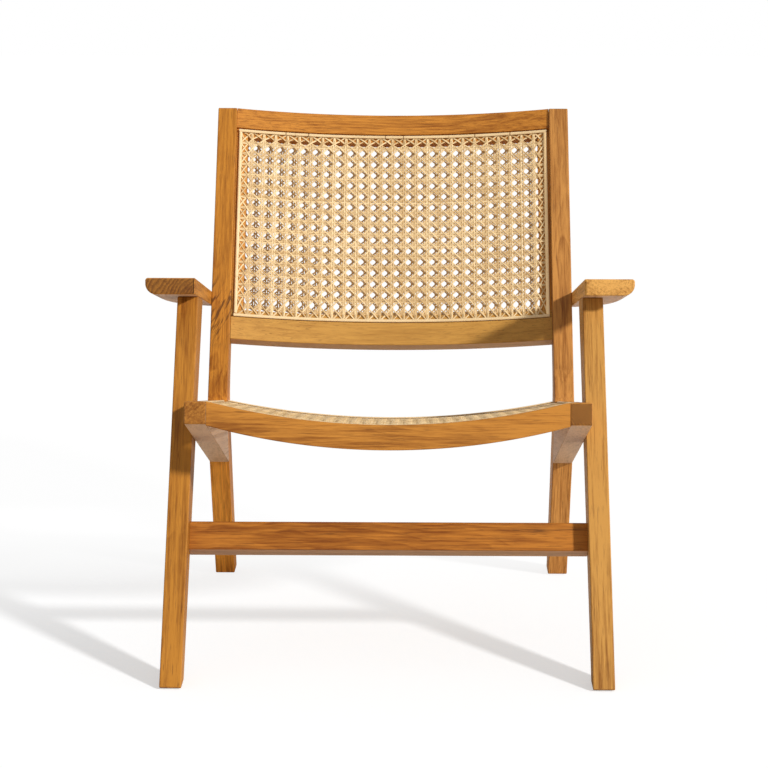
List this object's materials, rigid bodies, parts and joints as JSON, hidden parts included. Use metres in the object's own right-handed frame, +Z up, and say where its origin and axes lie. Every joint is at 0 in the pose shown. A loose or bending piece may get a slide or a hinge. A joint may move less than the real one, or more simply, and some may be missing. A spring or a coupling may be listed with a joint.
{
  "type": "planters chair",
  "caption": "Low wooden lounge chair with raked front legs, bent rear legs, flat armrests, sagging caned seat and bowed double-caned back.",
  "frame": {"origin": "on the floor, under the middle of the chair's bounding box", "axes": "+X to the side, towards the chair's right side seen from the front; +Y from the front feet to the leaning back; +Z up"},
  "size_m": [0.702, 0.8074, 0.7268],
  "materials": {
    "teak": "oiled teak, satin",
    "teak_pale": "oiled teak, satin, paler board",
    "teak_dark": "oiled teak, satin, darker board with brown streaks",
    "cane": "natural woven cane",
    "rattan": "natural rattan spline",
    "peg": "dark filled pin head",
    "beech": "plain beech dowel",
    "steel": "zinc plated screw",
    "nylon": "dark nylon glide"
  },
  "bodies": {
    "root": {"front_leg_left": "teak", "front_leg_right": "teak", "rear_leg_left": "teak", "rear_leg_right": "teak", "side_rail_left": "teak", "side_rail_right": "teak", "armrest_left": "teak", "armrest_right": "teak", "seat_front_rail": "teak", "seat_rear_rail": "teak", "front_stretcher": "teak_dark", "back_top_rail": "teak", "back_bottom_rail": "teak_pale", "back_batten_left": "teak", "back_batten_right": "teak", "seat_cane": "cane", "back_cane_front": "cane", "back_cane_rear": "cane", "back_spline_front_top": "rattan", "back_spline_front_bottom": "rattan", "back_spline_front_left": "rattan", "back_spline_front_right": "rattan", "back_spline_rear_top": "rattan", "back_spline_rear_bottom": "rattan", "back_spline_rear_left": "rattan", "back_spline_rear_right": "rattan", "seat_spline_front": "rattan", "seat_spline_rear": "rattan", "seat_spline_left": "rattan", "seat_spline_right": "rattan", "top_rail_pin_left": "peg", "top_rail_pin_right": "peg", "bottom_rail_pin_left": "peg", "bottom_rail_pin_right": "peg", "arm_dowel_front_left": "beech", "arm_dowel_front_right": "beech", "arm_dowel_rear_left": "beech", "arm_dowel_rear_right": "beech", "leg_screw_front_left": "steel", "leg_screw_front_right": "steel", "leg_screw_rear_left": "steel", "leg_screw_rear_right": "steel", "arm_screw_left": "steel", "arm_screw_right": "steel", "foot_glide_front_left": "nylon", "foot_glide_front_right": "nylon", "foot_glide_rear_left": "nylon", "foot_glide_rear_right": "nylon"}
  },
  "joints": []
}
